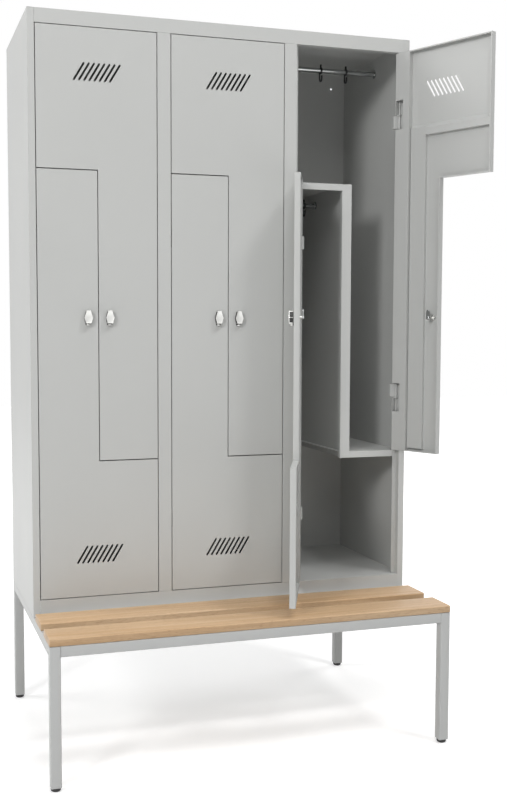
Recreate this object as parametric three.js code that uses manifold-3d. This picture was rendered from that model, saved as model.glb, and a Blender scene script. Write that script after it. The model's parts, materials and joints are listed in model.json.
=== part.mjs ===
// Changing-room locker with a bench: three columns, each with two compartments behind a pair of interlocking
// L-shaped doors, standing on a square-tube frame that carries two wooden seat slats in front of the cabinet.
// Millimetres, +X to the right along the front, +Y to the back, +Z up. The doors of the right column stand open.

import * as THREE from "three";
import { mergeVertices } from "three/addons/utils/BufferGeometryUtils.js";
import Module from "manifold-3d";

const wasm = await Module();
wasm.setup();

// driving dimensions
const columns = 3;
const pitch = 400; // width of one column
const height = 1755; // cabinet, lower edge to roof
const depth = 500;
const sheet = 1; // folded sheet steel
const gap = 0.3; // between pieces that rest on or pass one another

const endPost = 20; // face width of the outer posts
const midPost = 40; // face width of the posts between columns
const topRail = 41; // face height of the front rail under the roof
const bottomRail = 50; // and of the one under the compartments' floor
const stopDepth = 21; // front of the flanges that the doors close against
const stopFlange = 12; // width of those flanges

const doorDepth = 18; // pressed tray, face to inner lips
const doorGap = 2.5; // around each door
const seamGap = 3; // height of the gap between the two doors of a column
const seamReach = 425; // each level seam lies this far above or below mid-height
const pinInset = 9; // hinge axis, inboard of the post
const pinDepth = 5; // hinge axis, behind the cabinet's front
const upperDoorOpen = 114; // degrees, right column
const lowerDoorOpen = 114;

const benchHeight = 400; // floor to the top of the frame
const benchReach = 310; // how far the frame stands out in front of the cabinet
const legTube = 30;
const railTube = 30;
const tubeWall = 2;
const footHeight = 11;
const slatWidth = 110;
const slatThick = 21;
const seatGap = 37; // from the rear slat to the cabinet

// sizes that follow
const width = columns * pitch;
const halfWidth = width / 2;
const openHalf = (pitch - midPost) / 2; // half the clear width between posts
const openLow = bottomRail;
const openHigh = height - topRail;
const midHeight = (openLow + openHigh) / 2; // both doors of a column are turned about this height
const columnX = (i) => (i - (columns - 1) / 2) * pitch;
const backY = depth - sheet - gap; // side panels and partitions end here, at the back panel
const highZ = height - sheet - gap; // upright panels end here, under the roof sheet
const wallHalf = pitch / 2 - sheet - gap; // fittings reach this far from a column's middle
const dividerFrontY = stopDepth + sheet + gap;

// geometry helpers

// Closed solid of a geometry, kept by position only so that the faces share their corners.
function solid(geometry) {
  const bare = geometry.clone();
  for (const name of Object.keys(bare.attributes)) {
    if (name !== "position") bare.deleteAttribute(name);
  }
  const merged = mergeVertices(bare, 1e-4);
  return new wasm.Manifold(
    new wasm.Mesh({
      numProp: 3,
      vertProperties: new Float32Array(merged.attributes.position.array),
      triVerts: new Uint32Array(merged.index.array),
    }),
  );
}

// Triangles of a solid as a geometry with flat faces.
function surface(body) {
  const made = body.getMesh();
  const geometry = new THREE.BufferGeometry();
  geometry.setAttribute("position", new THREE.BufferAttribute(new Float32Array(made.vertProperties), 3));
  geometry.setIndex(new THREE.BufferAttribute(new Uint32Array(made.triVerts), 1));
  const flat = geometry.toNonIndexed();
  flat.computeVertexNormals();
  return flat;
}

// Joins the first list of geometries into one body, and cuts the second list out of it.
function shaped(joined, removed = []) {
  let body = solid(joined[0]);
  for (const piece of joined.slice(1)) body = body.add(solid(piece));
  for (const piece of removed) body = body.subtract(solid(piece));
  return surface(body);
}

// Box between two corners.
function block([x0, y0, z0], [x1, y1, z1]) {
  const box = new THREE.BoxGeometry(x1 - x0, y1 - y0, z1 - z0);
  return box.translate((x0 + x1) / 2, (y0 + y1) / 2, (z0 + z1) / 2);
}

// Outline of a folded sheet: the path follows its outer side, and the metal lies to the left of the path.
function folded(path) {
  const points = path.map(([a, b]) => new THREE.Vector2(a, b));
  const normals = points.slice(1).map((p, i) => {
    const along = p.clone().sub(points[i]).normalize();
    return new THREE.Vector2(-along.y, along.x);
  });
  const inner = points.map((p, i) => {
    const before = normals[Math.max(i - 1, 0)];
    const after = normals[Math.min(i, normals.length - 1)];
    const mitre = before.clone().add(after).multiplyScalar(sheet / (1 + before.dot(after)));
    return p.clone().add(mitre);
  });
  return new THREE.Shape([...points, ...inner.reverse()]);
}

// A plan outline (x, y) raised from z0 to z1.
function alongZ(shape, z0, z1) {
  return new THREE.ExtrudeGeometry(shape, { depth: z1 - z0, bevelEnabled: false }).translate(0, 0, z0);
}

// A side outline (y, z) drawn out from x0 to x1.
const sideToX = new THREE.Matrix4().makeBasis(
  new THREE.Vector3(0, 1, 0),
  new THREE.Vector3(0, 0, 1),
  new THREE.Vector3(1, 0, 0),
);
function alongX(shape, x0, x1, curveSegments = 6) {
  const drawn = new THREE.ExtrudeGeometry(shape, { depth: x1 - x0, bevelEnabled: false, curveSegments });
  return drawn.applyMatrix4(sideToX).translate(x0, 0, 0);
}

// A front outline (x, z) thickened from y0 back to y1.
const frontToY = new THREE.Matrix4().makeBasis(
  new THREE.Vector3(1, 0, 0),
  new THREE.Vector3(0, 0, 1),
  new THREE.Vector3(0, -1, 0),
);
function alongY(shape, y0, y1, curveSegments = 4) {
  const drawn = new THREE.ExtrudeGeometry(shape, { depth: y1 - y0, bevelEnabled: false, curveSegments });
  return drawn.applyMatrix4(frontToY).translate(0, y1, 0);
}

// Upright rod between two heights.
function rod(radius, x, y, z0, z1, sides = 16) {
  const cylinder = new THREE.CylinderGeometry(radius, radius, z1 - z0, sides);
  return cylinder.rotateX(Math.PI / 2).translate(x, y, (z0 + z1) / 2);
}

// Rod along the depth.
function rodY(radius, x, z, y0, y1, sides = 16) {
  const cylinder = new THREE.CylinderGeometry(radius, radius, y1 - y0, sides);
  return cylinder.translate(x, (y0 + y1) / 2, z);
}

// materials
const lightGrey = new THREE.MeshStandardMaterial({ color: 0xc6c7c6, roughness: 0.55, metalness: 0.0 });
const frameGrey = new THREE.MeshStandardMaterial({ color: 0xbfc2c2, roughness: 0.5, metalness: 0.0 });
const beech = new THREE.MeshStandardMaterial({ color: 0xd2af87, roughness: 0.55, metalness: 0.0 });
const chrome = new THREE.MeshStandardMaterial({ color: 0xe2e3e3, roughness: 0.2, metalness: 1.0 });
const castMetal = new THREE.MeshStandardMaterial({ color: 0xe8e8e6, roughness: 0.35, metalness: 0.6 });
const blackPlastic = new THREE.MeshStandardMaterial({ color: 0x151515, roughness: 0.5, metalness: 0.0 });

function mesh(name, geometry, material) {
  const made = new THREE.Mesh(geometry, material);
  made.name = name;
  return made;
}

// concealed hinges
// The hinge frame has its origin on the door's axis at mid-height, with the closed door along -X. A bracket on the
// post holds a pin, and an ear inside the door turns on it. The upper pin points up and the lower pin points down,
// so the closed door can't be lifted off.
const bracketWidth = 20;
const bracketHeight = 40;
const bracketClear = 1; // the bracket stops this far inboard of the axis, behind the reach of the turning edge
const eyeRadius = 3.4;
const pinRadius = 2.5;
const pinLength = 44;
const pinHoleRadius = 3.2;
const earThick = 3;
const earReach = 6; // from the axis, along the door and across it
const earLift = 1; // between bracket and ear
const notchClear = 3; // above and below a bracket, where the door's edge is notched round it
const seamStep = seamReach + seamGap / 2; // the wide part of a door starts here, over mid-height
const doorTop = openHigh - midHeight - doorGap;
const overStep = (share) => seamStep + share * (doorTop - seamStep); // height as a share of the wide part
const upperBracketShare = 0.4206; // underside of the upper bracket
const upperBracketZ = overStep(upperBracketShare);
const lowerBracketZ = -212; // top of the lower bracket

const bracketPlaces = [
  { base: upperBracketZ, towards: 1 },
  { base: lowerBracketZ, towards: -1 },
];

// Heights from base to base plus length, upwards or downwards, lowest first.
function span(base, towards, from, length) {
  const ends = [base + towards * from, base + towards * (from + length)];
  return ends.sort((a, b) => a - b);
}

function hingeBrackets() {
  const backOfBracket = stopDepth - pinDepth + sheet / 2;
  return bracketPlaces.flatMap(({ base, towards }) => {
    const [z0, z1] = span(base, towards, 0, bracketHeight);
    const [p0, p1] = span(base, towards, 0, bracketHeight + pinLength);
    return [
      block([-bracketWidth, bracketClear, z0], [-bracketClear, backOfBracket, z1]),
      rod(eyeRadius, 0, 0, z0, z1, 10),
      rod(pinRadius, 0, 0, p0, p1, 10),
    ];
  });
}

// The two hinge brackets on a post, for the upper door (right-hand post) or the lower door (left-hand post).
function bracketsOnPost(column, hand) {
  return hingeBrackets().map((piece) => {
    if (hand === "left") piece.rotateY(Math.PI);
    const axisX = columnX(column) + (hand === "left" ? -1 : 1) * (openHalf - pinInset);
    return piece.translate(axisX, pinDepth, midHeight);
  });
}

// cabinet shell
function sidePanel(hand) {
  const side = folded([
    [0, backY],
    [0, 0],
    [endPost, 0],
    [endPost, stopDepth + sheet],
  ]);
  const pieces = [
    alongZ(side, 0, highZ),
    block([endPost - sheet, stopDepth, openLow + gap], [endPost + stopFlange, stopDepth + sheet, openHigh - gap]),
  ];
  if (hand === "right") {
    const mirror = new THREE.Matrix4().makeScale(-1, 1, 1);
    for (const piece of pieces) {
      piece.applyMatrix4(mirror);
      turnFaces(piece);
    }
  }
  for (const piece of pieces) piece.translate(hand === "left" ? -halfWidth : halfWidth, 0, 0);
  const column = hand === "left" ? 0 : columns - 1;
  return shaped([...pieces, ...bracketsOnPost(column, hand)]);
}

// Reverses every triangle, which a mirrored geometry needs to face outwards again.
function turnFaces(geometry) {
  if (!geometry.index) {
    geometry.setIndex([...Array(geometry.attributes.position.count).keys()]);
  }
  const index = geometry.index.array;
  for (let i = 0; i < index.length; i += 3) {
    [index[i + 1], index[i + 2]] = [index[i + 2], index[i + 1]];
  }
}

// Post between two columns, with the wall behind it.
function partition(column) {
  const half = midPost / 2;
  const post = folded([
    [-half - stopFlange, stopDepth],
    [-half, stopDepth],
    [-half, 0],
    [half, 0],
    [half, stopDepth],
    [half + stopFlange, stopDepth],
  ]);
  const pieces = [
    alongZ(post, openLow + gap, openHigh - gap),
    block([-sheet / 2, sheet / 2, openLow + gap], [sheet / 2, backY, openHigh - gap]),
    block([-sheet / 2, dividerFrontY, openLow + gap], [sheet / 2, backY, highZ]),
  ];
  const x = columnX(column) + pitch / 2;
  for (const piece of pieces) piece.translate(x, 0, 0);
  return shaped([...pieces, ...bracketsOnPost(column, "right"), ...bracketsOnPost(column + 1, "left")]);
}

// Roof sheet. Its front folds down into a rail, back under it, and up again behind it.
function roofPanel() {
  const rail = folded([
    [endPost, height],
    [0, height],
    [0, openHigh],
    [stopDepth + sheet, openHigh],
    [stopDepth + sheet, openHigh + stopFlange],
  ]);
  const faceHalf = halfWidth - endPost - gap;
  return shaped([
    block([-halfWidth, 0, height - sheet], [halfWidth, depth, height]),
    alongX(rail, -faceHalf, faceHalf),
  ]);
}

// Floor sheet of the lower compartments. Its front folds down into a rail, and back under it.
function floorPanel() {
  const rail = folded([
    [dividerFrontY + sheet, openLow],
    [0, openLow],
    [0, 0],
    [endPost, 0],
  ]);
  const faceHalf = halfWidth - endPost - gap;
  const floorHalf = halfWidth - sheet - gap;
  return shaped([
    block([-floorHalf, dividerFrontY, openLow - sheet], [floorHalf, backY, openLow]),
    alongX(rail, -faceHalf, faceHalf),
  ]);
}

// Back sheet with a wall-fixing hole near each top corner.
const fixingHoleRadius = 3.5;
const fixingInset = 52;
function backPanel() {
  const plate = block([-halfWidth, depth - sheet, 0], [halfWidth, depth, highZ]);
  const holes = [-1, 1].map((side) => {
    const x = side * (halfWidth - fixingInset);
    return rodY(fixingHoleRadius, x, height - fixingInset, depth - 2 * sheet, depth + sheet, 12);
  });
  return shaped([plate], holes);
}

// Z-shaped divider
// It splits a column into an upper compartment that is wide at the top and narrow on the right, and a lower one
// that is narrow on the left and wide at the bottom.
const dividerHalf = 16; // half the width of its front channel
const channelDepth = 16;
const shelfEdge = 20; // height of a shelf's folded front edge
const shelfLip = 12;
const upperShelfDrop = 6; // the shelves lie just under the doors' level seams
const lowerShelfDrop = 2;
const upperShelfTop = midHeight + seamReach - upperShelfDrop;
const lowerShelfTop = midHeight - seamReach - lowerShelfDrop;
const lockX = 32; // each lock stands this far from the column's middle
const camReach = 24;
const camWidth = 12;
const camThick = 3;
const camDepth = 25; // front of the cam, behind the cabinet's front
const camSlotClear = 1.5;

function zDivider() {
  const shelf = (top) =>
    folded([
      [backY - gap, top],
      [dividerFrontY, top],
      [dividerFrontY, top - shelfEdge],
      [dividerFrontY + shelfLip, top - shelfEdge],
    ]);
  const channel = folded([
    [-dividerHalf, dividerFrontY + channelDepth],
    [-dividerHalf, dividerFrontY],
    [dividerHalf, dividerFrontY],
    [dividerHalf, dividerFrontY + channelDepth],
  ]);
  const bottom = lowerShelfTop - shelfEdge;
  const camSlot = block(
    [-dividerHalf - sheet, camDepth - camSlotClear, midHeight - camWidth / 2 - camSlotClear],
    [dividerHalf + sheet, camDepth + camThick + camSlotClear, midHeight + camReach],
  );
  const wall = block([-sheet / 2, dividerFrontY + sheet / 2, bottom], [sheet / 2, backY - gap, upperShelfTop]);
  return shaped(
    [
      alongZ(channel, bottom, upperShelfTop),
      wall,
      alongX(shelf(upperShelfTop), -wallHalf, dividerHalf),
      alongX(shelf(lowerShelfTop), -dividerHalf, wallHalf),
    ],
    [camSlot],
  );
}

// coat rails and their hooks
const railRadius = 7.5;
const railFlangeRadius = 13;
const railFlangeThick = 3;
const coatRailY = depth / 2;
const lowerRailBack = 30; // the lower rail lies this far behind the upper one
const upperRailDrop = 52; // rail centre under the roof
const lowerRailDrop = 40; // and under the upper shelf
const upperRailZ = height - upperRailDrop;
const lowerRailZ = upperShelfTop - lowerRailDrop;

// Chrome rod with a round flange at each end, its left end at the origin and its length along +X.
function coatRail(length) {
  const outline = [
    [0, 0],
    [railFlangeRadius, 0],
    [railFlangeRadius, railFlangeThick],
    [railRadius, railFlangeThick],
    [railRadius, length - railFlangeThick],
    [railFlangeRadius, length - railFlangeThick],
    [railFlangeRadius, length],
    [0, length],
  ].map(([r, h]) => new THREE.Vector2(r, h));
  return new THREE.LatheGeometry(outline, 16).rotateZ(-Math.PI / 2);
}

const hookThick = 5;
const hookOuter = 11;
const hookInner = 6.5;
const hookHoleRadius = 8.1; // turns and slides on the rod
const hookDrop = 26; // rod centre to the centre of the hook's bend
const hookTip = 9; // the open end rises this far above that centre
const hookLug = 20; // the top reaches this far above the rod's centre
const hookLugHalf = 3;

// Sliding hook: a ring round the rod, a shank down its back, and a bend that comes up again at the front.
function coatHook() {
  const bend = new THREE.Shape();
  bend.moveTo(hookOuter, 0);
  bend.lineTo(hookOuter, -hookDrop);
  bend.absarc(0, -hookDrop, hookOuter, 0, -Math.PI, true);
  bend.lineTo(-hookOuter, hookTip - hookDrop);
  bend.lineTo(-hookInner, hookTip - hookDrop);
  bend.lineTo(-hookInner, -hookDrop);
  bend.absarc(0, -hookDrop, hookInner, -Math.PI, 0, false);
  bend.lineTo(hookInner, 0);
  const ring = new THREE.Shape();
  ring.absarc(0, 0, hookOuter, 0, 2 * Math.PI, false);
  const bore = new THREE.Shape();
  bore.absarc(0, 0, hookHoleRadius, 0, 2 * Math.PI, false);
  const half = hookThick / 2;
  return shaped(
    [
      alongX(ring, -half, half, 6),
      alongX(bend, -half, half, 5),
      block([-half, -hookLugHalf, 0], [half, hookLugHalf, hookLug]),
    ],
    [alongX(bore, -hookThick, hookThick, 6)],
  );
}

// L-shaped door
// Built in the hinge frame for an upper door: hinged on the right, wide at the top and narrow below on the right.
// Turned half round about Y it becomes the lower door.
const faceY = -pinDepth;
const lipY = doorDepth - pinDepth;
const hingeEdge = pinInset - doorGap;
const wideEdge = hingeEdge - 2 * (openHalf - doorGap);
const narrowEdge = hingeEdge - (openHalf - doorGap) + doorGap / 2;
const doorBottom = seamGap / 2 - seamReach;
const endLip = 4; // inner lips along the level edges
const freeLip = 5; // and along the free upright edges
const stileWidth = 54; // the hinge side is folded on into a hollow stile

// Corners of the L, drawn in from its edges.
function doorOutline(hingeIn, levelIn, freeIn) {
  return [
    [hingeEdge - hingeIn, doorBottom + levelIn],
    [hingeEdge - hingeIn, doorTop - levelIn],
    [wideEdge + freeIn, doorTop - levelIn],
    [wideEdge + freeIn, seamStep + levelIn],
    [narrowEdge + freeIn, seamStep + levelIn],
    [narrowEdge + freeIn, doorBottom + levelIn],
  ].map(([x, z]) => new THREE.Vector2(x, z));
}

const ventCount = 8;
const ventPitch = 15.1;
const ventRise = 47; // height of a slot's centre line
const ventLean = 28.4; // how far its top leans to the right
const ventRadius = 2.8;
const ventShare = 0.6886; // height of the slots' middles
const ventZ = overStep(ventShare);
const columnMiddle = pinInset - openHalf; // in the hinge frame

function ventSlot(x) {
  const lean = Math.atan2(ventRise, ventLean);
  const topX = x + ventLean / 2;
  const topZ = ventZ + ventRise / 2;
  const lowX = x - ventLean / 2;
  const lowZ2 = ventZ - ventRise / 2;
  const slot = new THREE.Path();
  slot.absarc(topX, topZ, ventRadius, lean - Math.PI / 2, lean + Math.PI / 2, false);
  slot.absarc(lowX, lowZ2, ventRadius, lean + Math.PI / 2, lean + (3 * Math.PI) / 2, false);
  return slot;
}

const lockHoleRadius = 8.5;
const stileEdge = hingeEdge - stileWidth;
const stileGroove = 3; // between the stile and the upright stiffener
const hatFrom = stileEdge - stileGroove; // upright stiffener, from the hinge axis
const hatTo = -108;
const hatRise = 9; // how far the stiffener stands off the face
const hatSlope = 8; // height of its sloped upper end
const hatEndGap = 6; // over the lip at its open lower end
const crossShare = 0.3412; // underside of the level stiffener of the wide part
const crossWidth = 35;
const crossSlope = 13; // height of its sloped upper flank
const crossLow = overStep(crossShare);
const crossHigh = crossLow + crossWidth;
const crossY = lipY - 4 * sheet;
const crossEndGap = 2; // beside the lip at its open end

// Outer side of a stiffener: out from the face at its lower end, up, and in again along a slope.
function stiffenerPath(outerY, low, high, slope) {
  return [
    [faceY + sheet / 2, low],
    [outerY, low],
    [outerY, high - slope],
    [faceY + sheet, high],
  ];
}

function lockerDoor() {
  const face = new THREE.Shape(doorOutline(0, 0, 0));
  for (let i = 0; i < ventCount; i += 1) {
    face.holes.push(ventSlot(columnMiddle + (i - (ventCount - 1) / 2) * ventPitch));
  }

  const edges = new THREE.Shape(doorOutline(0, 0, 0));
  edges.holes.push(new THREE.Path(doorOutline(sheet, sheet, sheet)));
  const lips = new THREE.Shape(doorOutline(0, 0, 0));
  lips.holes.push(new THREE.Path(doorOutline(stileWidth, endLip, freeLip)));

  const insideFace = faceY + sheet / 2;
  const stileFlank = block(
    [stileEdge, insideFace, doorBottom + sheet / 2],
    [stileEdge + sheet, lipY - sheet / 2, doorTop - sheet / 2],
  );
  const hatY = faceY + sheet + hatRise;
  const hatPath = stiffenerPath(hatY, doorBottom + endLip + hatEndGap, crossHigh, hatSlope);
  const hatSide = new THREE.Shape(hatPath.map(([y, z]) => new THREE.Vector2(y, z)));
  const crossPath = stiffenerPath(crossY, crossLow, crossHigh, crossSlope);
  const stiffeners = [
    stileFlank,
    alongX(folded(hatPath.slice(1)), hatTo, hatFrom),
    alongX(hatSide, hatTo, hatTo + sheet),
    alongX(hatSide, hatFrom - sheet, hatFrom),
    alongX(folded(crossPath), wideEdge + freeLip + crossEndGap, hatTo + sheet / 2),
  ];
  const ears = bracketPlaces.map(({ base, towards }) => {
    const [z0, z1] = span(base, towards, bracketHeight + earLift, earThick);
    return block([-earReach, insideFace, z0], [hingeEdge - sheet / 2, earReach, z1]);
  });
  const notchEdge = -bracketWidth - notchClear;
  const notches = bracketPlaces.flatMap(({ base, towards }) => {
    const [z0, z1] = span(base, towards, -notchClear, bracketHeight + 2 * notchClear);
    const [w0, w1] = span(base, towards, bracketHeight, pinLength + notchClear);
    return [
      block([notchEdge, faceY + sheet, z0], [hingeEdge + sheet, lipY + sheet, z1]),
      block([notchEdge, lipY - 2 * sheet, w0], [hingeEdge - 2 * sheet, lipY + sheet, w1]),
    ];
  });
  const pinHoles = bracketPlaces.map(({ base, towards }) => {
    const [z0, z1] = span(base, towards, bracketHeight, 2 * earLift + earThick);
    return rod(pinHoleRadius, 0, 0, z0, z1, 12);
  });
  const lockHole = rodY(lockHoleRadius, columnMiddle + lockX, 0, faceY - sheet, faceY + 2 * sheet, 12);
  const tray = shaped(
    [
      alongY(face, faceY, faceY + sheet, 2),
      alongY(edges, faceY + sheet / 2, lipY),
      alongY(lips, lipY - sheet, lipY),
      ...stiffeners,
    ],
    [...notches, lockHole],
  );
  return shaped([tray, ...ears], pinHoles);
}

// lock
// Origin on the door's outer face, at the spindle. The base is clamped through the door. The knob turns in it, and
// its spindle carries the cam.
const baseHalfWidth = 10.5;
const baseTop = 17;
const baseThick = 3;
const baseNeckRadius = 7;
const nutRadius = 10;
const nutThick = 5;
const spindleRadius = 4;
const spindleBore = 4.5;
const knobReach = 16; // front of the knob, from the door
const knobPlate = 2.5;
const knobHalfWidth = 12.5;
const knobTopHalf = 6;
const knobBottomHalf = 7.5;
const knobHalfHeight = 19;
const knobWaist = -2.5; // height of its widest place
const knobArm = 3;
const eyeTop = -22; // padlock eye under the knob
const eyeThick = 2.5;
const eyeHalfWidth = 6.5;
const eyeReach = 13;
const eyeHoleRadius = 3.5;

// Six-sided outline, widest a little under mid-height.
function hexOutline(halfWide, topHalf, bottomHalf, top, bottom) {
  return new THREE.Shape(
    [
      [-topHalf, top],
      [-halfWide, knobWaist],
      [-bottomHalf, bottom],
      [bottomHalf, bottom],
      [halfWide, knobWaist],
      [topHalf, top],
    ].map(([x, z]) => new THREE.Vector2(x, z)),
  );
}

function lockBase() {
  const baseOutline = hexOutline(baseHalfWidth, knobTopHalf, eyeHalfWidth, baseTop, eyeTop - eyeThick);
  const eye = block([-eyeHalfWidth, -eyeReach, eyeTop - eyeThick], [eyeHalfWidth, -gap - sheet, eyeTop]);
  const eyeHole = rod(eyeHoleRadius, 0, eyeHoleRadius + eyeThick - eyeReach, eyeTop - 2 * eyeThick, 0, 12);
  const insideDoor = sheet + gap;
  return shaped(
    [
      alongY(baseOutline, -gap - baseThick, -gap),
      rodY(baseNeckRadius, 0, 0, -gap - sheet, insideDoor + nutThick, 10),
      rodY(nutRadius, 0, 0, insideDoor, insideDoor + nutThick, 10),
      eye,
    ],
    [eyeHole, rodY(spindleBore, 0, 0, -knobReach, insideDoor + 2 * nutThick, 12)],
  );
}

function lockKnob() {
  const plate = hexOutline(knobHalfWidth, knobTopHalf, knobBottomHalf, knobHalfHeight, -knobHalfHeight);
  const armBack = -gap - baseThick - sheet;
  const overlap = sheet / 2;
  return shaped([
    alongY(plate, -knobReach, knobPlate - knobReach),
    block(
      [-knobTopHalf, knobPlate - knobReach - overlap, knobHalfHeight - knobArm],
      [knobTopHalf, armBack, knobHalfHeight],
    ),
    block(
      [-knobBottomHalf, knobPlate - knobReach - overlap, -knobHalfHeight],
      [knobBottomHalf, armBack, knobArm - knobHalfHeight],
    ),
    rodY(spindleRadius, 0, 0, knobPlate - knobReach - overlap, camDepth - gap, 12),
  ]);
}

// Cam with the screw that holds it on the end of the spindle. It points up while the door is unlocked.
const camScrewRadius = 5;
const camScrewThick = 2;
function lockCam() {
  const half = camWidth / 2;
  return shaped([
    block([-half, camDepth, -half], [half, camDepth + camThick, camReach]),
    rodY(camScrewRadius, 0, 0, camDepth + camThick - gap, camDepth + camThick + camScrewThick, 12),
  ]);
}

// bench
const footRadius = 14.5;
const footFlat = 8;
const footShoulder = 3; // height of the dome's steeper rim
const plugLength = 22;
const slatRound = 5;

// One welded side frame: front leg, rear leg and top rail, as one tube open at both feet.
function sideFrame() {
  const legLow = footHeight - benchHeight;
  const inset = tubeWall;
  const outer = [
    block([0, -benchReach, legLow], [legTube, legTube - benchReach, 0]),
    block([0, depth - legTube, legLow], [legTube, depth, 0]),
    block([0, -benchReach, -railTube], [legTube, depth, 0]),
  ];
  const inner = [
    block([inset, inset - benchReach, legLow - inset], [legTube - inset, legTube - inset - benchReach, -inset]),
    block([inset, depth - legTube + inset, legLow - inset], [legTube - inset, depth - inset, -inset]),
    block([inset, inset - benchReach, inset - railTube], [legTube - inset, depth - inset, -inset]),
  ];
  return shaped(outer, inner);
}

// Cross tube between the side frames, open at its ends.
function crossTube() {
  const half = halfWidth - legTube - gap;
  const inner = block(
    [-half - tubeWall, tubeWall, tubeWall - railTube],
    [half + tubeWall, railTube - tubeWall, -tubeWall],
  );
  return shaped([block([-half, 0, -railTube], [half, railTube, 0])], [inner]);
}

// Domed glide with a square plug that fills the end of a leg. The origin is on the floor.
function footGlide() {
  const dome = [
    [0, 0],
    [footFlat, 0],
    [footRadius - footShoulder / 2, footHeight - 2 * footShoulder],
    [footRadius, footHeight - footShoulder],
    [footRadius, footHeight - gap],
    [0, footHeight - gap],
  ].map(([r, h]) => new THREE.Vector2(r, h));
  const plugHalf = legTube / 2 - tubeWall - gap;
  return shaped([
    new THREE.LatheGeometry(dome, 16).rotateX(Math.PI / 2),
    block([-plugHalf, -plugHalf, footHeight - sheet], [plugHalf, plugHalf, footHeight + plugLength]),
  ]);
}

// Seat slat with rounded long edges, its front lower edge on the X axis.
function seatSlat() {
  const r = slatRound;
  const profile = new THREE.Shape();
  profile.moveTo(0, 0);
  profile.lineTo(slatWidth, 0);
  profile.lineTo(slatWidth, slatThick - r);
  profile.absarc(slatWidth - r, slatThick - r, r, 0, Math.PI / 2, false);
  profile.lineTo(r, slatThick);
  profile.absarc(r, slatThick - r, r, Math.PI / 2, Math.PI, false);
  return alongX(profile, -halfWidth, halfWidth, 4);
}

// assembly
const locker = new THREE.Group();
const assembly = new THREE.Group(); // cabinet frame: origin at its floor, middle of the front
locker.add(assembly);

assembly.add(mesh("side_panel_left", sidePanel("left"), lightGrey));
assembly.add(mesh("side_panel_right", sidePanel("right"), lightGrey));
for (let i = 0; i < columns - 1; i += 1) {
  assembly.add(mesh(`partition_${i + 1}`, partition(i), lightGrey));
}
assembly.add(mesh("top_panel", roofPanel(), lightGrey));
assembly.add(mesh("bottom_panel", floorPanel(), lightGrey));
assembly.add(mesh("back_panel", backPanel(), lightGrey));

const upperHooks = [3, 93]; // from the column's middle
const lowerHook = -42;
const lowerRailFrom = -wallHalf;
const lowerRailLength = wallHalf - sheet / 2 - gap;

// Knob and cam of a lock turn about the spindle; the base stays put.
function addLock(parent, label) {
  parent.add(mesh(`lock_base_${label}`, lockBase(), castMetal));
  parent.add(mesh(`knob_${label}`, lockKnob(), castMetal));
  parent.add(mesh(`cam_${label}`, lockCam(), chrome));
}

for (let i = 0; i < columns; i += 1) {
  const column = new THREE.Group();
  column.position.x = columnX(i);
  assembly.add(column);
  const number = i + 1;
  const isLast = i === columns - 1;

  column.add(mesh(`z_divider_${number}`, zDivider(), lightGrey));

  const upperRail = mesh(`upper_rail_${number}`, coatRail(2 * wallHalf), chrome);
  upperRail.position.set(-wallHalf, coatRailY, upperRailZ);
  column.add(upperRail);
  const lowerRail = mesh(`lower_rail_${number}`, coatRail(lowerRailLength), chrome);
  lowerRail.position.set(lowerRailFrom, coatRailY + lowerRailBack, lowerRailZ);
  column.add(lowerRail);

  upperHooks.forEach((x, k) => {
    const hook = mesh(`upper_hook_${number}_${k + 1}`, coatHook(), blackPlastic);
    hook.position.set(x, coatRailY, upperRailZ);
    column.add(hook);
  });
  const hook = mesh(`lower_hook_${number}`, coatHook(), blackPlastic);
  hook.position.set(lowerHook, coatRailY + lowerRailBack, lowerRailZ);
  column.add(hook);

  // Upper door, hinged on the right.
  const upper = new THREE.Group();
  upper.position.set(openHalf - pinInset, pinDepth, midHeight);
  upper.rotation.z = isLast ? THREE.MathUtils.degToRad(upperDoorOpen) : 0;
  upper.add(mesh(`upper_door_${number}`, lockerDoor(), lightGrey));
  const upperLock = new THREE.Group();
  upperLock.position.set(columnMiddle + lockX, faceY, 0);
  addLock(upperLock, `upper_${number}`);
  upper.add(upperLock);
  column.add(upper);

  // Lower door: the same pressing, turned half round and hinged on the left.
  const lower = new THREE.Group();
  lower.position.set(pinInset - openHalf, pinDepth, midHeight);
  lower.rotation.z = isLast ? -THREE.MathUtils.degToRad(lowerDoorOpen) : 0;
  const lowerDoor = mesh(`lower_door_${number}`, lockerDoor(), lightGrey);
  lowerDoor.rotation.y = Math.PI;
  lower.add(lowerDoor);
  const lowerLock = new THREE.Group();
  lowerLock.position.set(-columnMiddle - lockX, faceY, 0);
  addLock(lowerLock, `lower_${number}`);
  lower.add(lowerLock);
  column.add(lower);
}

// Bench: the cabinet stands on the frame's top, and the slats lie in front of it.
const frameLeft = mesh("side_frame_left", sideFrame(), frameGrey);
frameLeft.position.set(-halfWidth, 0, -gap);
const frameRight = mesh("side_frame_right", sideFrame(), frameGrey);
frameRight.position.set(halfWidth - legTube, 0, -gap);
assembly.add(frameLeft, frameRight);
const crossPlaces = { front_tube: sheet - benchReach, middle_tube: 0, rear_tube: depth - railTube - sheet };
for (const [name, y] of Object.entries(crossPlaces)) {
  const tube = mesh(name, crossTube(), frameGrey);
  tube.position.set(0, y, -gap);
  assembly.add(tube);
}
const slatPlaces = { seat_slat_front: -benchReach, seat_slat_rear: -seatGap - slatWidth };
for (const [name, y] of Object.entries(slatPlaces)) {
  const slat = mesh(name, seatSlat(), beech);
  slat.position.set(0, y, 0);
  assembly.add(slat);
}
const legPlaces = {
  foot_front_left: [legTube / 2 - halfWidth, legTube / 2 - benchReach],
  foot_front_right: [halfWidth - legTube / 2, legTube / 2 - benchReach],
  foot_rear_left: [legTube / 2 - halfWidth, depth - legTube / 2],
  foot_rear_right: [halfWidth - legTube / 2, depth - legTube / 2],
};
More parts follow.
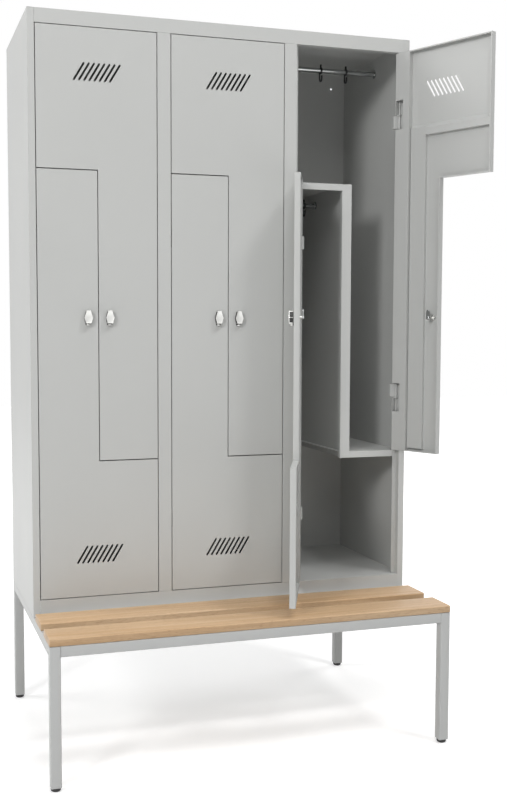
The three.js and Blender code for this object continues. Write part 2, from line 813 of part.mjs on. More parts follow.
for (const [name, [x, y]] of Object.entries(legPlaces)) {
  const foot = mesh(name, footGlide(), blackPlastic);
  foot.position.set(x, y, -benchHeight - gap);
  assembly.add(foot);
}

// The part's origin is the middle of its bounding box on the floor.
locker.updateMatrixWorld(true);
const bounds = new THREE.Box3().setFromObject(locker, true);
const middle = bounds.getCenter(new THREE.Vector3());
assembly.position.set(-middle.x, -middle.y, -bounds.min.z);

export default locker;
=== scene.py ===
# %% [markdown]
# # A changing-room locker with a bench
# Three columns of light grey steel stand on a tube frame that carries two beech slats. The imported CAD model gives
# every piece its place and size. This script gives the pieces their finishes, and swaps the ones with rounded
# forms, such as tubes, slats, knobs, hooks and rails, for smooth surfaces of the same size.

import json
import math

import bpy
import bmesh
import numpy as np
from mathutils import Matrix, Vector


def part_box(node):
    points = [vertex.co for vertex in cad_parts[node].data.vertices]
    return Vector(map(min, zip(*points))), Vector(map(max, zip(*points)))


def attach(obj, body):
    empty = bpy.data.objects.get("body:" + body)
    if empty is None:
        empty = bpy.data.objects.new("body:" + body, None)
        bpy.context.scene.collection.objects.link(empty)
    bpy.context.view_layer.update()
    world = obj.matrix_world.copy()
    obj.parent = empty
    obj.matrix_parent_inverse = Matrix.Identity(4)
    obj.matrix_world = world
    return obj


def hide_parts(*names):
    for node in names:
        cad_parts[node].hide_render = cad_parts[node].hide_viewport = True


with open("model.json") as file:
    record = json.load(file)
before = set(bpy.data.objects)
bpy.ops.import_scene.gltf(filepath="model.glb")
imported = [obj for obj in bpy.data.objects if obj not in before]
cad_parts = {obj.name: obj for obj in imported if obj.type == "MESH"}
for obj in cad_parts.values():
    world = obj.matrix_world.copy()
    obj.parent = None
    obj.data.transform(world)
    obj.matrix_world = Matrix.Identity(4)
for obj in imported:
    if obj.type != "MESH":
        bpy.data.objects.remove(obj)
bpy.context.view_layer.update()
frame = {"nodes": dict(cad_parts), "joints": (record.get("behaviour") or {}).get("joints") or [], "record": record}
nodes = frame["nodes"]
joints = {joint["name"]: joint for joint in frame["joints"]}
scene = bpy.context.scene
MM = 0.001

# %% [markdown]
# ## The camera
# The picture was taken from in front on the left, from about the height of the cabinet's middle, with the camera
# tilted down by four degrees. Its place, turn and focal length were fitted to the straight edges of the picture
# together with the sizes of the cabinet, on the assumption that its columns are 400 mm apart. A small shift stands
# for the crop of the picture.

# %% Camera
PICTURE = (507, 800)  # pixels
FOCAL = 1076.35  # pixels
CENTRE_OFF = (37.06, 5.71)  # pixels between the lens axis and the middle of the picture
CAMERA_PLACE = (-1.07589, -3.21866, 1.25099)  # metres
CAMERA_TURN = (85.856, -0.04, -17.386)  # degrees
SENSOR = 36.0  # millimetres
FARTHEST = 60  # metres, well behind the floor's far corners
camera_data = bpy.data.cameras.new("camera")
camera_data.sensor_width = SENSOR
camera_data.lens = FOCAL / max(PICTURE) * SENSOR
camera_data.shift_x = CENTRE_OFF[0] / max(PICTURE)
camera_data.shift_y = CENTRE_OFF[1] / max(PICTURE)
camera_data.clip_end = FARTHEST
camera = bpy.data.objects.new("camera", camera_data)
camera.location = CAMERA_PLACE
camera.rotation_euler = [math.radians(angle) for angle in CAMERA_TURN]
scene.collection.objects.link(camera)
scene.camera = camera
print("lens", round(camera_data.lens, 2), "mm")

# %% [markdown]
# ## Colours and nodes
# A colour is written as the hex value that a paint chart or an image editor shows. Shaders work with light, which is
# linear, so one function turns the one into the other. Another adds a node to a material together with its settings
# and its links. The rest are short names for the nodes that come back in most materials, so that each material reads
# as a list of what it is made of.


# %% Helpers for materials
def linear(hex_colour):
    """Linear red, green, blue and alpha of an sRGB hex colour: each channel to the power 2.4 above a short foot."""
    channels = np.array([int(hex_colour[i : i + 2], 16) for i in (1, 3, 5)]) / 255
    light = np.where(channels <= 0.04045, channels / 12.92, ((channels + 0.055) / 1.055) ** 2.4)
    return (*light.tolist(), 1.0)


def add(tree, kind, inputs=None, **settings):
    """Adds a node. Each input is a plain value, or another node's output, which is linked."""
    made = tree.nodes.new(kind)
    for name, value in settings.items():
        setattr(made, name, value)
    for key, value in (inputs or {}).items():
        if isinstance(value, bpy.types.NodeSocket):
            tree.links.new(value, made.inputs[key])
        else:
            made.inputs[key].default_value = value
    return made


def noise(tree, where, size, detail):
    """Smooth noise from 0 to 1, with lumps of about the given size in metres."""
    return add(tree, "ShaderNodeTexNoise", {"Vector": where, "Scale": 1 / size, "Detail": detail}).outputs[0]


def ranged(tree, value, low, high, start=0.0, stop=1.0):
    """A value that goes from low to high while the given one goes from start to stop, and stays there outside."""
    inputs = {"Value": value, "From Min": start, "From Max": stop, "To Min": low, "To Max": high}
    return add(tree, "ShaderNodeMapRange", inputs).outputs[0]


def mixed(tree, share, first, second, how="MIX"):
    """The colour between two colours at the given share, or with MULTIPLY their product."""
    inputs = {0: share, 6: first, 7: second}
    return add(tree, "ShaderNodeMix", inputs, data_type="RGBA", blend_type=how).outputs[2]


def seen_itself(tree):
    """1 for a ray from the camera or a mirror, 0 for one that only carries light to something else."""
    path = add(tree, "ShaderNodeLightPath").outputs
    rays = {0: path["Is Camera Ray"], 1: path["Is Glossy Ray"]}
    return add(tree, "ShaderNodeMath", rays, operation="MAXIMUM").outputs[0]


def new_material(name):
    """An empty material: itself, its tree, and the coordinates of the object in metres."""
    material = bpy.data.materials.new(name)
    material.use_nodes = True
    tree = material.node_tree
    tree.nodes.clear()
    return material, tree, add(tree, "ShaderNodeTexCoord").outputs["Object"]


def surface(tree, inputs):
    """Ends a material with its shader."""
    shader = add(tree, "ShaderNodeBsdfPrincipled", inputs)
    add(tree, "ShaderNodeOutputMaterial", {"Surface": shader.outputs[0]})


# %% [markdown]
# ## Light, floor and background
# The object stands in a bright studio. A dim world gives the light that comes from all sides. Softboxes model the
# forms. A low one in front on the left lights the fronts and slips past the left edge of an open compartment onto
# its right wall, and a wide one near it fills the shadows. Two high ones in front and on the right light the front
# part of a compartment's floor, and the right one draws the soft shadow of the open door. One overhead makes the
# seat brighter than its front edge. Three stand behind the front's plane, so they light the sides, the back and the
# roof and leave the fronts alone. Little of all this light reaches the back of a compartment, so it stays dark.
#
# The background is white because camera and mirror rays see a white world, not because there is more light. The
# floor melts into it: for the same rays it glows, more and more with the distance from the object, while the
# object's shadow near it stays.

# %% World, lamps and floor
AMBIENT = 0.09  # strength of the light from all sides
SOFTBOXES = {  # degrees from the front towards the left, degrees above level, width in metres, watts
    "low_left": (45, 23, 1.5, 213),
    "front": (22, 38, 3.2, 84),
    "high_front": (6, 58, 1.0, 74),
    "high_right": (-38, 55, 1.6, 190),
    "overhead": (0, 85, 3.2, 100),
    "left_side": (110, 30, 3.2, 190),
    "right_side": (-112, 30, 3.2, 145),
    "back": (185, 38, 4.0, 125),
}
LAMP_DISTANCE = 8.0  # metres
LIT_POINT = np.array([0.0, 0.0, 1.0])  # where every lamp points, about the object's middle
FLOOR_REACH = 14.0  # metres from the middle to each edge
GLOW_STARTS, GLOW_ENDS = 1.0, 4.0  # metres from the middle
GLOW_NEAR, GLOW_FAR = 0.40, 0.95  # strength at these two distances
scene.view_settings.view_transform = "Standard"
world = bpy.data.worlds.new("studio")
world.use_nodes = True
scene.world = world
tree = world.node_tree
tree.nodes.clear()
daylight = add(tree, "ShaderNodeBackground", {"Color": linear("#FFFFFF"), "Strength": AMBIENT}).outputs[0]
white = add(tree, "ShaderNodeBackground", {"Color": linear("#FFFFFF"), "Strength": 1.0}).outputs[0]
sky = add(tree, "ShaderNodeMixShader", {0: seen_itself(tree), 1: daylight, 2: white})
add(tree, "ShaderNodeOutputWorld", {"Surface": sky.outputs[0]})

for title, (azimuth, elevation, width, watts) in SOFTBOXES.items():
    lamp_data = bpy.data.lights.new(f"softbox_{title}", "AREA")
    lamp_data.size = width
    lamp_data.energy = watts
    turn, rise = math.radians(azimuth), math.radians(elevation)
    towards = np.array([-math.sin(turn) * math.cos(rise), -math.cos(turn) * math.cos(rise), math.sin(rise)])
    lamp = bpy.data.objects.new(lamp_data.name, lamp_data)
    lamp.location = (LIT_POINT + LAMP_DISTANCE * towards).tolist()
    lamp.rotation_euler = (math.pi / 2 - rise, 0, -turn)
    scene.collection.objects.link(lamp)
print("lamps", len(SOFTBOXES))

floor_paint, tree, where = new_material("studio_floor")
away = add(tree, "ShaderNodeVectorMath", {0: where}, operation="LENGTH").outputs["Value"]
glow = ranged(tree, away, GLOW_NEAR, GLOW_FAR, GLOW_STARTS, GLOW_ENDS)
lift = add(tree, "ShaderNodeMath", {0: seen_itself(tree), 1: glow}, operation="MULTIPLY").outputs[0]
surface(
    tree,
    {
        "Base Color": linear("#ECECEC"),
        "Roughness": 0.9,
        "Specular IOR Level": 0.0,
        "Emission Color": linear("#FFFFFF"),
        "Emission Strength": lift,
    },
)
floor_mesh = bpy.data.meshes.new("floor")
corners = [(sx * FLOOR_REACH, sy * FLOOR_REACH, 0) for sx, sy in ((-1, -1), (1, -1), (1, 1), (-1, 1))]
floor_mesh.from_pydata(corners, [], [(0, 1, 2, 3)])
floor_mesh.materials.append(floor_paint)
floor = bpy.data.objects.new("floor", floor_mesh)
scene.collection.objects.link(floor)

# %% [markdown]
# ## Powder coat
# The steel is coated with polyester powder that is sprayed on dry and baked. It flows into an even satin skin with a
# faint orange peel, a few hundredths of a millimetre high and a few millimetres across. It is a plastic on metal,
# so it isn't metallic: its index is about 1.5 and its gloss is soft. A second, very slow noise keeps a large
# sheet from looking like a flat fill. Folded sheet has no sharp edges: a bevel of the shading rounds each fold by
# about a millimetre, so that it catches a thin line of light.

# %% Powder coat
PAINT_DRIFT = 300 * MM
PEEL = 4 * MM  # about 2 mm in truth, drawn coarser so that it shows
PEEL_DEPTH = 0.05 * MM
FOLD = 1.2 * MM  # radius of the bevel
GLOSS_DRIFT = 0.03


def powder_coat(name, shade, deeper, roughness):
    """Satin powder coat in one shade, with a slow drift towards a slightly deeper one and a fine orange peel."""
    material, tree, where = new_material(name)
    drift = noise(tree, where, PAINT_DRIFT, 2.0)
    folds = add(tree, "ShaderNodeBevel", {"Radius": FOLD}, samples=4).outputs[0]
    peel = {"Height": noise(tree, where, PEEL, 1.0), "Strength": 0.25, "Distance": PEEL_DEPTH, "Normal": folds}
    surface(
        tree,
        {
            "Base Color": mixed(tree, drift, linear(shade), linear(deeper)),
            "Roughness": ranged(tree, drift, roughness - GLOSS_DRIFT, roughness + GLOSS_DRIFT),
            "Normal": add(tree, "ShaderNodeBump", peel).outputs[0],
            "IOR": 1.5,
            "Specular IOR Level": 0.35,
        },
    )
    return material


cabinet_paint = powder_coat("powder_coat_light_grey", "#C1C2C0", "#BDBEBC", 0.42)
door_paint = powder_coat("powder_coat_light_grey_doors", "#C0C1BF", "#BCBDBB", 0.42)
frame_paint = powder_coat("powder_coat_tube_grey", "#BBBCBB", "#B7B8B7", 0.40)
print(cabinet_paint.name, door_paint.name, frame_paint.name)

# %% [markdown]
# ## Beech
# Beech is pale and even, with its fibres along the slat. Three things make it beech and not pine: slow bands of tone
# a centimetre or two wide, fine fibre streaks, and the short dark flecks of its rays. Each is a noise that is
# stretched along the slat. A clear lacquer gives a soft gloss. The narrow faces are painted a little darker than the
# broad face. This is painted shade, because less light falls on the sides of a slat than on its top.

# %% Lacquered beech
WANDER = 450 * MM  # how slowly the grain swings to and fro
SWING = 18 * MM  # how far it swings
BAND = (500 * MM, 16 * MM)  # length along the slat and width
FIBRE = (140 * MM, 3 * MM)  # under a millimetre wide in truth, drawn coarser so that it shows
FLECK = (16 * MM, 1.6 * MM)
BAND_TONES = ((0.3, "#C7A37A"), (0.72, "#D5B692"))
FIBRE_TONES = (0.78, 1.13)  # times the tone of the band
FLECK_STRENGTH = 0.35
FLECK_LIMITS = (0.64, 0.72)  # where the noise begins a fleck, and where the fleck is full
# Painted shade: the narrow faces are drawn darker because less light falls on them than on the top.
SIDE_SHADE_TONE = 0.80  # times the tone of the broad face


def lacquered_beech():
    """Beech planed along X: bands, fibres and flecks from stretched noise, under a clear lacquer."""
    material, tree, where = new_material("lacquered_beech")
    wander = add(tree, "ShaderNodeTexNoise", {"Vector": where, "Scale": 1 / WANDER, "Detail": 1.0})
    swing = {0: wander.outputs["Color"], 1: (0.0, SWING, SWING)}
    offset = add(tree, "ShaderNodeVectorMath", swing, operation="MULTIPLY").outputs[0]
    bent = add(tree, "ShaderNodeVectorMath", {0: where, 1: offset}, operation="ADD").outputs[0]

    def streaks(size, detail):
        """Noise drawn out along the slat: its length and width in metres set the scale of each axis."""
        scale = (1 / size[0], 1 / size[1], 1 / size[1])
        stretched = add(tree, "ShaderNodeMapping", {"Vector": bent, "Scale": scale}).outputs[0]
        return noise(tree, stretched, 1.0, detail)

    bands = add(tree, "ShaderNodeValToRGB", {"Fac": streaks(BAND, 2.0)})
    for element, (position, tone) in zip(bands.color_ramp.elements, BAND_TONES):
        element.position = position
        element.color = linear(tone)
    fibre = ranged(tree, streaks(FIBRE, 2.0), *FIBRE_TONES)
    grained = mixed(tree, 1.0, bands.outputs[0], fibre, "MULTIPLY")
    rays = ranged(tree, streaks(FLECK, 0.0), 0.0, FLECK_STRENGTH, *FLECK_LIMITS)
    flecked = mixed(tree, rays, grained, linear("#9A7650"))
    # Painted shade: how far a face points up or down sets its tone, so the narrow faces come out darker.
    upright = add(tree, "ShaderNodeSeparateXYZ", {0: add(tree, "ShaderNodeNewGeometry").outputs["True Normal"]})
    broad = add(tree, "ShaderNodeMath", {0: upright.outputs["Z"]}, operation="ABSOLUTE").outputs[0]
    pores = {"Height": fibre, "Strength": 0.3, "Distance": 0.15 * MM}
    surface(
        tree,
        {
            "Base Color": mixed(tree, 1.0, flecked, ranged(tree, broad, SIDE_SHADE_TONE, 1.0), "MULTIPLY"),
            "Normal": add(tree, "ShaderNodeBump", pores).outputs[0],
            "Roughness": 0.45,
            "IOR": 1.5,
        },
    )
    return material


beech = lacquered_beech()
print(beech.name)

# %% [markdown]
# ## Metal and moulded plastic
# The coat rails are steel tube with bright chrome plating. The lock is a zinc die casting under satin nickel, which
# is softer: the casting skin spreads the reflection. Hooks and glides are moulded in black plastic with the fine
# grain of an eroded mould.


# %% Chrome, nickel and black plastic
def plated(name, shade, roughness, grain_size, grain_depth):
    """Plated metal with a fine grain that breaks up its reflections."""
    material, tree, where = new_material(name)
    grain = noise(tree, where, grain_size, 2.0)
    skin_grain = {"Height": grain, "Strength": 0.3, "Distance": grain_depth}
    surface(
        tree,
        {
            "Base Color": linear(shade),
            "Metallic": 1.0,
            "Roughness": ranged(tree, grain, roughness * 0.8, roughness * 1.2),
            "Normal": add(tree, "ShaderNodeBump", skin_grain).outputs[0],
        },
    )
    return material


def moulded_black():
    """Black polyamide from an eroded mould: a matt grain under half a millimetre, drawn at 0.8 mm."""
    material, tree, where = new_material("moulded_black_plastic")
    grain = add(tree, "ShaderNodeTexVoronoi", {"Vector": where, "Scale": 1 / (0.8 * MM)}).outputs[0]
    mould = {"Height": grain, "Strength": 0.4, "Distance": 0.05 * MM}
    surface(
        tree,
        {
            "Base Color": linear("#1A1A1A"),
            "Roughness": 0.45,
            "IOR": 1.53,
            "Normal": add(tree, "ShaderNodeBump", mould).outputs[0],
        },
    )
    return material


chrome = plated("bright_chrome", "#B4B6B6", 0.22, 1.5 * MM, 0.01 * MM)
nickel = plated("satin_nickel_casting", "#D2D2CF", 0.36, 1.0 * MM, 0.03 * MM)
black = moulded_black()
print(chrome.name, nickel.name, black.name)

# %% [markdown]
# ## Dress the CAD nodes
# Every CAD node already has its right place and its right shape, so it only gets its finish. The record names a
# material slot for each node, and the slot decides.

# %% Finish by slot
finishes = {
    "cabinet_paint": cabinet_paint,
    "door_paint": door_paint,
    "frame_paint": frame_paint,
    "beech": beech,
    "chrome": chrome,
    "lock_metal": nickel,
    "black_plastic": black,
}
slots = {part["node"]: part["material_slot"] for part in frame["record"]["subparts"]}
bodies = {node: body for body, members in frame["record"]["behaviour"]["bodies"].items() for node in members}
for name, built in nodes.items():
    built.data.materials.clear()
    built.data.materials.append(finishes[slots[name]])
print({slot: sum(1 for s in slots.values() if s == slot) for slot in finishes})

# %% [markdown]
# ## Skins over rings
# Most rounded pieces are a closed profile that is carried along something: a tube, a slat, a rail. As numbers, that
# is a grid of points: one row for each ring, one column for each point round it. Quads join neighbouring rings,
# and a ring at either end is filled. The whole grid is computed at once with numpy, and only the finished
# arrays go into the mesh.

# %% Skin, profile and piece
SHARP = 35  # degrees: an edge that turns by more stays crisp


def skin(rings, wrapped=False):
    """Vertices and faces of a skin over rings, shaped (rings, points, 3), wrapped round or filled at its ends."""
    count, around = rings.shape[:2]
    grid = np.arange(count * around).reshape(count, around)
    first = grid if wrapped else grid[:-1]
    second = np.roll(grid, -1, 0) if wrapped else grid[1:]
    quads = np.stack([first, np.roll(first, -1, 1), np.roll(second, -1, 1), second], -1).reshape(-1, 4)
    ends = [] if wrapped else [grid[0, ::-1].tolist(), grid[-1].tolist()]
    return rings.reshape(-1, 3), quads.tolist() + ends


def rounded(width, height, radius, steps=5):
    """Corners of a rectangle about its middle, each replaced by a quarter circle of the given radius."""
    turn = np.linspace(0, math.pi / 2, steps)
    arc = np.stack([np.cos(turn), np.sin(turn)], -1) * radius
    quarter = [(1, 1, 0), (-1, 1, 1), (-1, -1, 0), (1, -1, 1)]
    points = []
    for sx, sy, backwards in quarter:
        corner = arc * (sx, sy) + ((width / 2 - radius) * sx, (height / 2 - radius) * sy)
        points.append(corner[::-1] if backwards else corner)
    return np.concatenate(points)


def piece(name, parts, node):
    """One mesh from one or more skins. It takes the node's finish, slot and body, and stands for the node."""
    verts = np.concatenate([part[0] for part in parts])
    starts = np.cumsum([0] + [len(part[0]) for part in parts])
    faces = [[int(v + start) for v in face] for part, start in zip(parts, starts) for face in part[1]]
    mesh = bpy.data.meshes.new(name)
    mesh.from_pydata(verts.tolist(), [], faces)
    work = bmesh.new()
    work.from_mesh(mesh)
    bmesh.ops.recalc_face_normals(work, faces=work.faces)
    work.to_mesh(mesh)
    work.free()
    mesh.polygons.foreach_set("use_smooth", np.ones(len(mesh.polygons), bool))
    mesh.set_sharp_from_angle(angle=math.radians(SHARP))
    mesh.materials.append(finishes[slots[node]])
    made = bpy.data.objects.new(name, mesh)
    scene.collection.objects.link(made)
    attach(made, bodies[node])
    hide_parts(node)
    return made


def box_of(node):
    """Lowest and highest corner of a CAD node at rest, as arrays."""
    low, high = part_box(node)
    return np.array(low), np.array(high)


# %% [markdown]
# ## The seat slats
# Each slat is planed beech, 110 by 21 mm, with its long edges rounded to about 4 mm so that they don't cut into the
# legs. The profile runs along X. At each end a few rings draw in by a millimetre, which breaks the sawn edge.

# %% Seat slats
SLAT_EDGE = 4 * MM
SAWN_EDGE = 1.2 * MM


def slat(node):
    """A rounded rectangle carried from one end to the other, drawn in at both ends by a small radius."""
    low, high = box_of(node)
    middle = (low + high) / 2
    width, height = high[1] - low[1], high[2] - low[2]
    turn = np.linspace(0, math.pi / 2, 4)
    inset = SAWN_EDGE * (1 - np.sin(turn))
    along = SAWN_EDGE * (1 - np.cos(turn))
    xs = np.concatenate([low[0] + along, (high[0] - along)[::-1]])
    insets = np.concatenate([inset, inset[::-1]])
    rings = []
    for x, d in zip(xs, insets):
        yz = rounded(width - 2 * d, height - 2 * d, SLAT_EDGE - d)
        rings.append(np.column_stack([np.full(len(yz), x), middle[1] + yz[:, 0], middle[2] + yz[:, 1]]))
    return piece(f"{node}_planed", [skin(np.array(rings))], node)


for node in ("seat_slat_front", "seat_slat_rear"):
    print(slat(node).name)

# %% [markdown]
# ## The square tubes
# The frame is cold-rolled square tube, whose corners have a radius of about one and a half times the wall. That
# radius is what draws a thin light line down each leg. A tube open at its ends is a skin that goes along the
# outside and comes back along the inside, wrapped round. A leg is closed at its top, and the side's rail runs
# between its two legs, with a fine seam at either end.

# %% Square tubes
WALL = 2 * MM
CORNER = 3 * MM
LEG = 30 * MM
RAIL = 30 * MM
SEAM = 0.3 * MM


def tube(low, high, axis, capped=False):
    """Square tube between two corners, along one axis: down its inner profile and back up its outer one."""
    across = [k for k in range(3) if k != axis]
    middle = (low + high) / 2
    width, height = (high - low)[across]
    outer = rounded(width, height, CORNER)
    inner = rounded(width - 2 * WALL, height - 2 * WALL, CORNER - WALL)
    inner_top = high[axis] - WALL if capped else high[axis]
    stops = [(inner, inner_top), (inner, low[axis]), (outer, low[axis]), (outer, high[axis])]
    rings = np.zeros((len(stops), len(outer), 3))
    for ring, (profile, at) in zip(rings, stops):
        ring[:, across] = profile + middle[across]
        ring[:, axis] = at
    return skin(rings, wrapped=not capped)


for node in ("front_tube", "middle_tube", "rear_tube"):
    print(piece(f"{node}_rolled", [tube(*box_of(node), 0)], node).name)
for side in ("left", "right"):
    node = f"side_frame_{side}"
    low, high = box_of(node)
    front = tube(low, np.array([high[0], low[1] + LEG, high[2]]), 2, capped=True)
    rear = tube(np.array([low[0], high[1] - LEG, low[2]]), high, 2, capped=True)
    rail_low = np.array([low[0], low[1] + LEG + SEAM, high[2] - RAIL])
    rail_high = np.array([high[0], high[1] - LEG - SEAM, high[2]])
    print(piece(f"{node}_welded", [front, rear, tube(rail_low, rail_high, 1)], node).name)

# %% [markdown]
# ## Rails and glides
# A coat rail and a glide are both turned shapes: a profile of radius against length, swept once round an axis. The
# profile is a short list of points, because their edges are small and straight.

# %% Turned pieces
SIDES = 48  # points round a rail or a glide
# Pairs (radius, length) in millimetres: a rail from the wall inwards, a glide from the floor upwards.
ROD_END = [(12.4, 0.0), (13.0, 0.5), (13.0, 1.6), (12.2, 2.3), (10.4, 2.7), (8.6, 2.85), (7.5, 3.0)]
GLIDE_DOME = [(8.0, 0), (11.2, 0.6), (13.2, 2.2), (14.2, 4.6), (14.5, 7.4), (14.5, 10.1), (14.1, 10.7)]
PLUG = 25.4 * MM
PLUG_CORNER = 1 * MM
PLUG_START = 10.75 * MM  # just above the dome, which ends 0.3 mm under the tube for a line of shadow


def turned(profile, centre, axis):
    """Skin of revolution: each pair (radius, length along the axis) in mm is one ring round the centre line."""
    across = [k for k in range(3) if k != axis]
    turn = np.arange(SIDES) / SIDES * 2 * math.pi
    radii, lengths = np.array(profile).T * MM
    rings = np.zeros((len(radii), SIDES, 3))
    rings[:, :, across[0]] = centre[across[0]] + radii[:, None] * np.cos(turn)
    rings[:, :, across[1]] = centre[across[1]] + radii[:, None] * np.sin(turn)
    rings[:, :, axis] = (centre[axis] + lengths)[:, None]
    return skin(rings)


def rail(node):
    """Chromed rod with a pressed cup at each end, whose rim is eased and which falls in a low dome to the rod."""
    low, high = box_of(node)
    length = (high[0] - low[0]) / MM
    start = np.array([low[0], (low[1] + high[1]) / 2, (low[2] + high[2]) / 2])
    mirrored = [(radius, length - at) for radius, at in reversed(ROD_END)]
    return piece(f"{node}_plated", [turned(ROD_END + mirrored, start, 0)], node)


def glide(node):
    """Domed foot under a leg, with a shallow collar, and the square plug that goes up into the tube."""
    low, high = box_of(node)
    centre = np.array([(low[0] + high[0]) / 2, (low[1] + high[1]) / 2, low[2]])
    outline = rounded(PLUG, PLUG, PLUG_CORNER)
    plug = np.zeros((2, len(outline), 3))
    plug[:, :, :2] = outline + centre[:2]
    plug[:, :, 2] = [[low[2] + PLUG_START], [high[2]]]
    return piece(f"{node}_moulded", [turned(GLIDE_DOME, centre, 2), skin(plug)], node)


for i in (1, 2, 3):
    print(rail(f"upper_rail_{i}").name, rail(f"lower_rail_{i}").name)
for place in ("front_left", "front_right", "rear_left", "rear_right"):
    print(glide(f"foot_{place}").name)

# %% [markdown]
# ## Coat hooks
# A hook is moulded in one piece: a ring that slides on the rail, a lug on top of it, and a shank that goes down at
# the back and comes up again in front. Its section is a rounded rectangle. Carried along a circle it gives the ring,
# and carried along the shank's line it gives the hook. All its measures are in millimetres about the rod's centre.

# %% Coat hooks
ROD_BELOW_LUG = 20  # from the lug's top down to the rod's centre
HOOK_WIDTH = 5
RING_RADIUS = 9.55  # of the ring's middle line
BEND_RADIUS = 8.75  # of the shank's middle line
BEND_BELOW_ROD = 26
TIP_EASE = 0.72
LUG = [(HOOK_WIDTH, 6, 8), (HOOK_WIDTH, 6, 18.8), (4.6, 5.6, 19.7), (3.6, 4.6, 20)]  # width, depth, how high


def carried(section, line, closed=False, ease=1.0):
    """Section (across X, across the line) carried along a line in the YZ plane, square to it at every point.

    The last ring shrinks by the factor ease, which rounds off an end."""
    ahead = np.roll(line, -1, 0) - np.roll(line, 1, 0)
    if not closed:
        ahead[0], ahead[-1] = line[1] - line[0], line[-1] - line[-2]
    ahead = ahead / np.linalg.norm(ahead, axis=1)[:, None]
    beside = np.stack([-ahead[:, 1], ahead[:, 0]], -1)
    size = np.ones(len(line))
    size[-1] = ease
    rings = np.zeros((len(line), len(section), 3))
    rings[:, :, 0] = section[:, 0] * size[:, None]
    rings[:, :, 1:] = line[:, None] + (section[:, 1] * size[:, None])[:, :, None] * beside[:, None]
    return rings


def arc(centre, radius, start, stop, steps):
    """Points on a circle between two angles, in degrees."""
    turn = np.radians(np.linspace(start, stop, steps))
    return np.array(centre) + radius * np.stack([np.cos(turn), np.sin(turn)], -1)


def hook(node):
    """Ring, shank and lug of one hook. A full circle meets itself, so the ring leaves out its last point."""
    low, high = box_of(node)
    rod = np.array([(low[0] + high[0]) / 2, (low[1] + high[1]) / 2, high[2] - ROD_BELOW_LUG * MM])
    circle = arc((0, 0), RING_RADIUS, 0, 360, 33)[:-1]
    ring = carried(rounded(HOOK_WIDTH, 2.9, 1.0, 4), circle, closed=True)
    down = [(BEND_RADIUS, z) for z in (0, -9, -18)]
    tip = [(-BEND_RADIUS, z) for z in (-20, -18, -17.2, -17)]
    shank = np.concatenate([down, arc((0, -BEND_BELOW_ROD), BEND_RADIUS, 0, -180, 17), tip])
    bend = carried(rounded(HOOK_WIDTH, 4.4, 1.4, 4), shank, ease=TIP_EASE)
    lug = np.zeros((len(LUG), 4 * 4, 3))  # four corners of four points
    for level, (width, depth, z) in zip(lug, LUG):
        level[:, :2] = rounded(width, depth, 1.2, 4)
        level[:, 2] = z
    parts = [skin(ring * MM + rod, wrapped=True), skin(bend * MM + rod), skin(lug * MM + rod)]
    return piece(f"{node}_moulded", parts, node)


for i in (1, 2, 3):
    for node in (f"upper_hook_{i}_1", f"upper_hook_{i}_2", f"lower_hook_{i}"):
        print(hook(node).name)

# %% [markdown]
# ## Locks
# Each door has a turning lock. A black base is clamped through the door, a nickel-plated knob turns in it, and a
# nickel eye under the knob takes a padlock. Inside there are a nut and the cam. All of them are drawn around one
# point, where the spindle meets the door's outer face. The joint of the lock gives that point and the way out of the
# door, so the same code serves the doors that are closed and the two that stand open.

# %% Lock helpers
WAIST = -2.5  # height of the widest place of a six-sided outline


def six_sided(half_wide, half_top, half_bottom, top, bottom):
    """Corners of the knob's outline, anticlockwise from the bottom left."""
    right = [(half_bottom, bottom), (half_wide, WAIST), (half_top, top)]
    return np.array([(-half_bottom, bottom)] + right + [(-half_top, top), (-half_wide, WAIST)])


def eased(corners, radius, depths, steps=5):
    """Rings of a plate with round corners. Each depth is (how far along Y, how far the outline is drawn in).

    The centre of a corner's arc lies one radius inside both its edges, and drawing in only makes the arc smaller."""
    edge = np.roll(corners, -1, 0) - corners
    after = np.stack([edge[:, 1], -edge[:, 0]], -1) / np.linalg.norm(edge, axis=1)[:, None]
    before = np.roll(after, 1, 0)
    centres = corners - radius * (before + after) / (1 + (before * after).sum(1))[:, None]
    part = np.linspace(0, 1, steps)[None, :, None]
    out = before[:, None] * (1 - part) + after[:, None] * part
    out = (out / np.linalg.norm(out, axis=2)[..., None]).reshape(-1, 2)
    centres = np.repeat(centres, steps, 0)
    rings = np.zeros((len(depths), len(out), 3))
    for ring, (y, inset) in zip(rings, depths):
        ring[:, [0, 2]] = centres + (radius - inset) * out
        ring[:, 1] = y
    return rings


def oblong(x0, x1, z0, z1):
    """Four corners, anticlockwise as seen from outside the door."""
    return np.array([(x0, z0), (x1, z0), (x1, z1), (x0, z1)])


def round_bar(profile, sides=32):
    """Rings round the spindle's axis from pairs (radius, depth along Y)."""
    radii, depths = np.array(profile, float).T
    turn = np.arange(sides) / sides * 2 * math.pi
    levels = np.repeat(depths[:, None], sides, 1)
    return np.stack([np.outer(radii, np.cos(turn)), levels, np.outer(radii, np.sin(turn))], -1)


def on_door(rings, lock, wrapped=False):
    """Skin of rings in millimetres about a lock's spindle: X to the right, Y into the door, Z up."""
    outward = np.array(joints[lock]["axis"], float) * (1 if lock.startswith("upper") else -1)
    right = np.cross((0, 0, 1), outward)
    verts, faces = skin(rings * MM, wrapped)
    placed = verts[:, :1] * right - verts[:, 1:2] * outward + verts[:, 2:] * (0, 0, 1)
    return placed + joints[lock]["pos_m"], faces


def in_black(made):
    """Gives a piece the finish of black plastic, because the slot of its node is the lock's metal."""
    made.data.materials[0] = black
    return made


# %% [markdown]
# ## The pieces of a lock
# Each is an outline, or a circle round the spindle, at a few depths. A depth is negative in front of the door's outer
# face and positive behind it. The steps at either end draw in a little, which eases the edge as on a casting. The
# black filling belongs to the knob and is painted shade: it darkens the hollow behind the knob's plate. The metal eye
# belongs to the base, so two pieces stand for each of those nodes.

# %% Knobs, bases, eyes and cams
ARM_DEPTHS = [(-13.9, 0), (-4.3, 0), (-4.1, 0.3)]
EYE_SHARE = 0.96  # the eye's rim is drawn in to this share of its outline


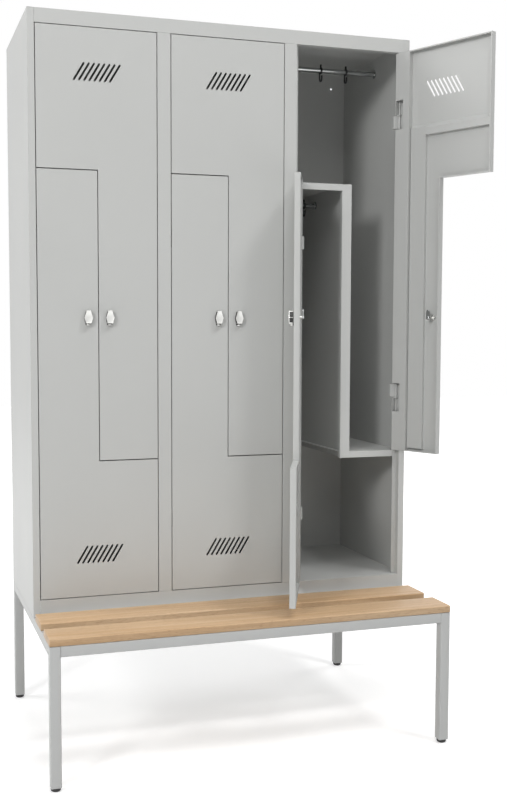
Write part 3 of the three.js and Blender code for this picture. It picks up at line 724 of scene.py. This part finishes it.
def knob(lock, node):
    """A six-sided plate, slightly hollow within its rim, with two arms back to the base, and the spindle."""
    face = six_sided(12.5, 6, 7.5, 19, -19)
    plate = eased(face, 1.4, [(-13.5, 0.4), (-13.8, 0), (-15.3, 0), (-15.8, 0.3), (-16, 0.9), (-15.8, 1.3)])
    upper_arm = eased(oblong(-6, 6, 16, 19), 0.8, ARM_DEPTHS)
    lower_arm = eased(oblong(-7.5, 7.5, -19, -16), 0.8, ARM_DEPTHS)
    spindle = round_bar([(4, -13.9), (4, 24.2), (3.6, 24.7)])
    parts = [on_door(rings, lock) for rings in (plate, upper_arm, lower_arm, spindle)]
    return piece(f"{node}_plated", parts, node)


def shade_filler(lock, node):
    """Black filling behind the knob's plate, as painted shade for its hollow, in two halves with the spindle between
    them.
    """
    upper = np.array([(-9.2, 2.2), (9.2, 2.2), (5.2, 15.6), (-5.2, 15.6)])
    lower = np.array([(-6.4, -15.6), (6.4, -15.6), (9.2, -2.2), (-9.2, -2.2)])
    halves = [eased(corners, 1.0, [(-13.3, 0), (-4.8, 0), (-4.4, 0.4)]) for corners in (upper, lower)]
    return in_black(piece(f"{node}_liner", [on_door(rings, lock) for rings in halves], node))


def base(lock, node):
    """The black base plate with its neck through the door."""
    plate = eased(six_sided(10.5, 6, 6.5, 17, -24.5), 2.0, [(-0.3, 0), (-2.6, 0), (-3.1, 0.3), (-3.3, 1.0)])
    neck = round_bar([(7, -0.8), (7, 1.0)])
    return in_black(piece(f"{node}_moulded", [on_door(rings, lock) for rings in (plate, neck)], node))


def eye_and_nut(lock, node):
    """The eye for a padlock, bored through, and the nut inside the door."""
    outer, bore = rounded(13, 12, 5.2, 7), rounded(7, 7, 3.5, 7)
    rim = outer * EYE_SHARE
    levels = [(rim, -24.5), (outer, -24.1), (outer, -22.4), (rim, -22), (bore, -22), (bore, -24.5)]
    eye = np.zeros((len(levels), len(outer), 3))
    for ring, (outline, z) in zip(eye, levels):
        ring[:, :2] = outline + (0, -7)
        ring[:, 2] = z
    nut = round_bar([(10, 1.1), (10, 5.4), (9.4, 6.1)], 6)
    return piece(f"{node}_plated", [on_door(eye, lock, wrapped=True), on_door(nut, lock)], node)


def cam(lock, node):
    """A stamped cam with round ends, and the domed screw that holds it."""
    plate = eased(oblong(-6, 6, -6, 24), 5.5, [(25, 0.2), (25.2, 0), (27.8, 0), (28, 0.2)], 9)
    screw = round_bar([(5, 28.0), (5, 28.9), (4.2, 29.7), (2.6, 30.0)])
    return piece(f"{node}_plated", [on_door(rings, lock) for rings in (plate, screw)], node)


for i in (1, 2, 3):
    for side in ("upper", "lower"):
        lock = f"{side}_lock_turn_{i}"
        made = [
            knob(lock, f"knob_{side}_{i}"),
            shade_filler(lock, f"knob_{side}_{i}"),
            base(lock, f"lock_base_{side}_{i}"),
            eye_and_nut(lock, f"lock_base_{side}_{i}"),
            cam(lock, f"cam_{side}_{i}"),
        ]
        print(lock, [one.name for one in made])
